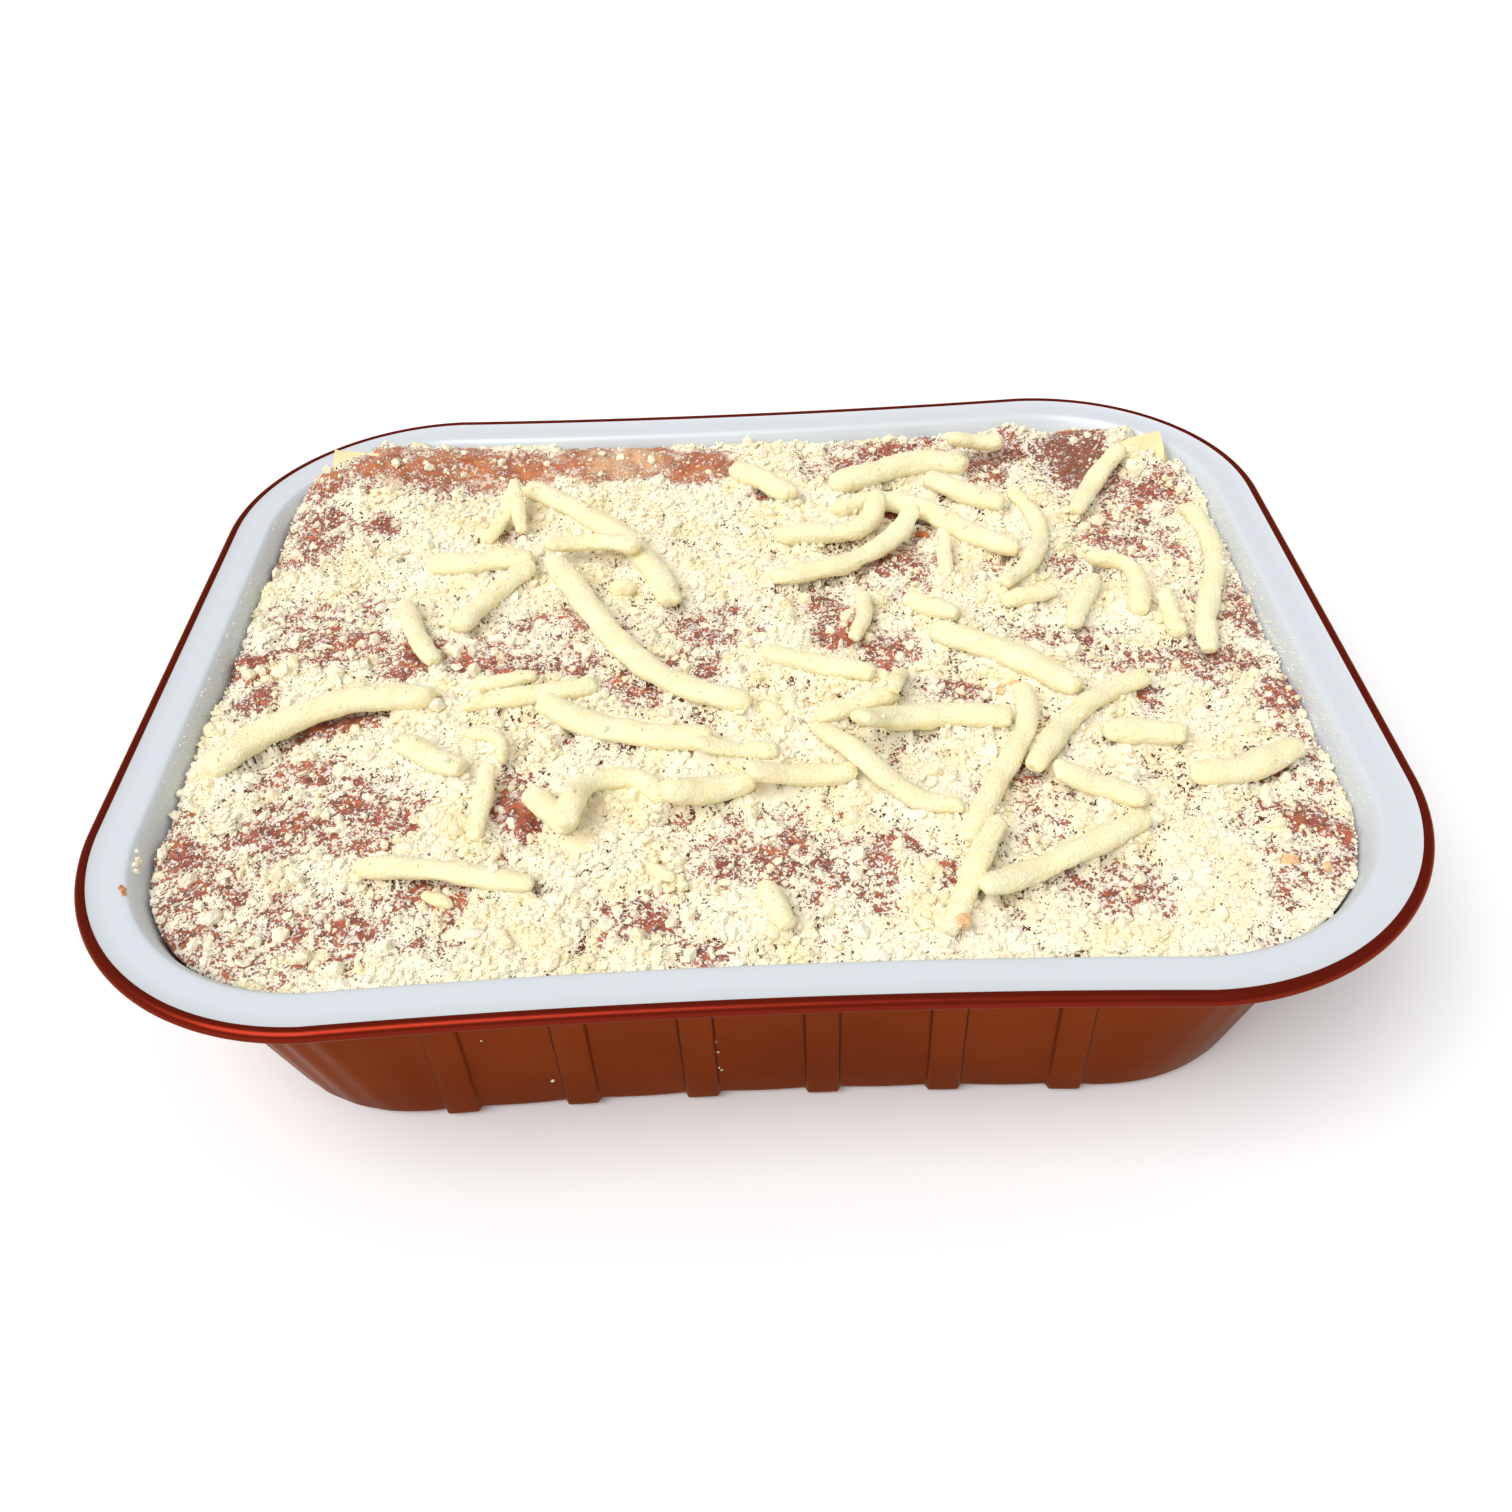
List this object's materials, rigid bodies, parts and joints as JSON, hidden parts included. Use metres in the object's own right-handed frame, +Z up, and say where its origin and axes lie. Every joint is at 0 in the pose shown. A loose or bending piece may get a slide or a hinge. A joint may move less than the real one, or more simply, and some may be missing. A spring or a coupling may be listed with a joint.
{
  "type": "foil tray lasagne",
  "caption": "Oven-ready lasagne in a rounded rectangular foil tray with a rolled rim and ribbed walls, topped with grated cheese and mozzarella shreds over meat sauce.",
  "frame": {"origin": "centre of the tray's base, on the surface it rests on", "axes": "+X along the tray's long side, +Y to the tray's back, +Z up"},
  "size_m": [0.16, 0.1308, 0.0409],
  "materials": {
    "coated_foil": "copper-brown lacquer outside, pale blue-grey lacquer inside, satin",
    "filling_layers": "moist layered sauce and pasta",
    "pasta": "smooth, slightly floury",
    "meat_sauce": "moist, lumpy",
    "hard_cheese": "dry powder and crumbs",
    "mozzarella": "dry, powdered with grated cheese"
  },
  "bodies": {
    "root": {"tray": "coated_foil", "lasagne_filling": "filling_layers", "pasta_sheet": "pasta", "meat_sauce": "meat_sauce", "grated_cheese": "hard_cheese", "shred_01": "mozzarella", "shred_02": "mozzarella", "shred_03": "mozzarella", "shred_04": "mozzarella", "shred_05": "mozzarella", "shred_06": "mozzarella", "shred_07": "mozzarella", "shred_08": "mozzarella", "shred_09": "mozzarella", "shred_10": "mozzarella", "shred_11": "mozzarella", "shred_12": "mozzarella", "shred_13": "mozzarella", "shred_14": "mozzarella", "shred_15": "mozzarella", "shred_16": "mozzarella", "shred_17": "mozzarella", "shred_18": "mozzarella", "shred_19": "mozzarella", "shred_20": "mozzarella", "shred_21": "mozzarella", "shred_22": "mozzarella", "shred_23": "mozzarella", "shred_24": "mozzarella", "shred_25": "mozzarella", "shred_26": "mozzarella", "shred_27": "mozzarella", "shred_28": "mozzarella", "shred_29": "mozzarella", "shred_30": "mozzarella", "shred_31": "mozzarella", "shred_32": "mozzarella", "shred_33": "mozzarella", "shred_34": "mozzarella", "shred_35": "mozzarella", "shred_36": "mozzarella", "shred_37": "mozzarella", "shred_38": "mozzarella", "shred_39": "mozzarella", "shred_40": "mozzarella", "shred_41": "mozzarella", "shred_42": "mozzarella", "shred_43": "mozzarella", "shred_44": "mozzarella", "shred_45": "mozzarella", "shred_46": "mozzarella", "shred_47": "mozzarella", "shred_48": "mozzarella", "shred_49": "mozzarella", "shred_50": "mozzarella", "shred_51": "mozzarella", "shred_52": "mozzarella"}
  },
  "joints": []
}
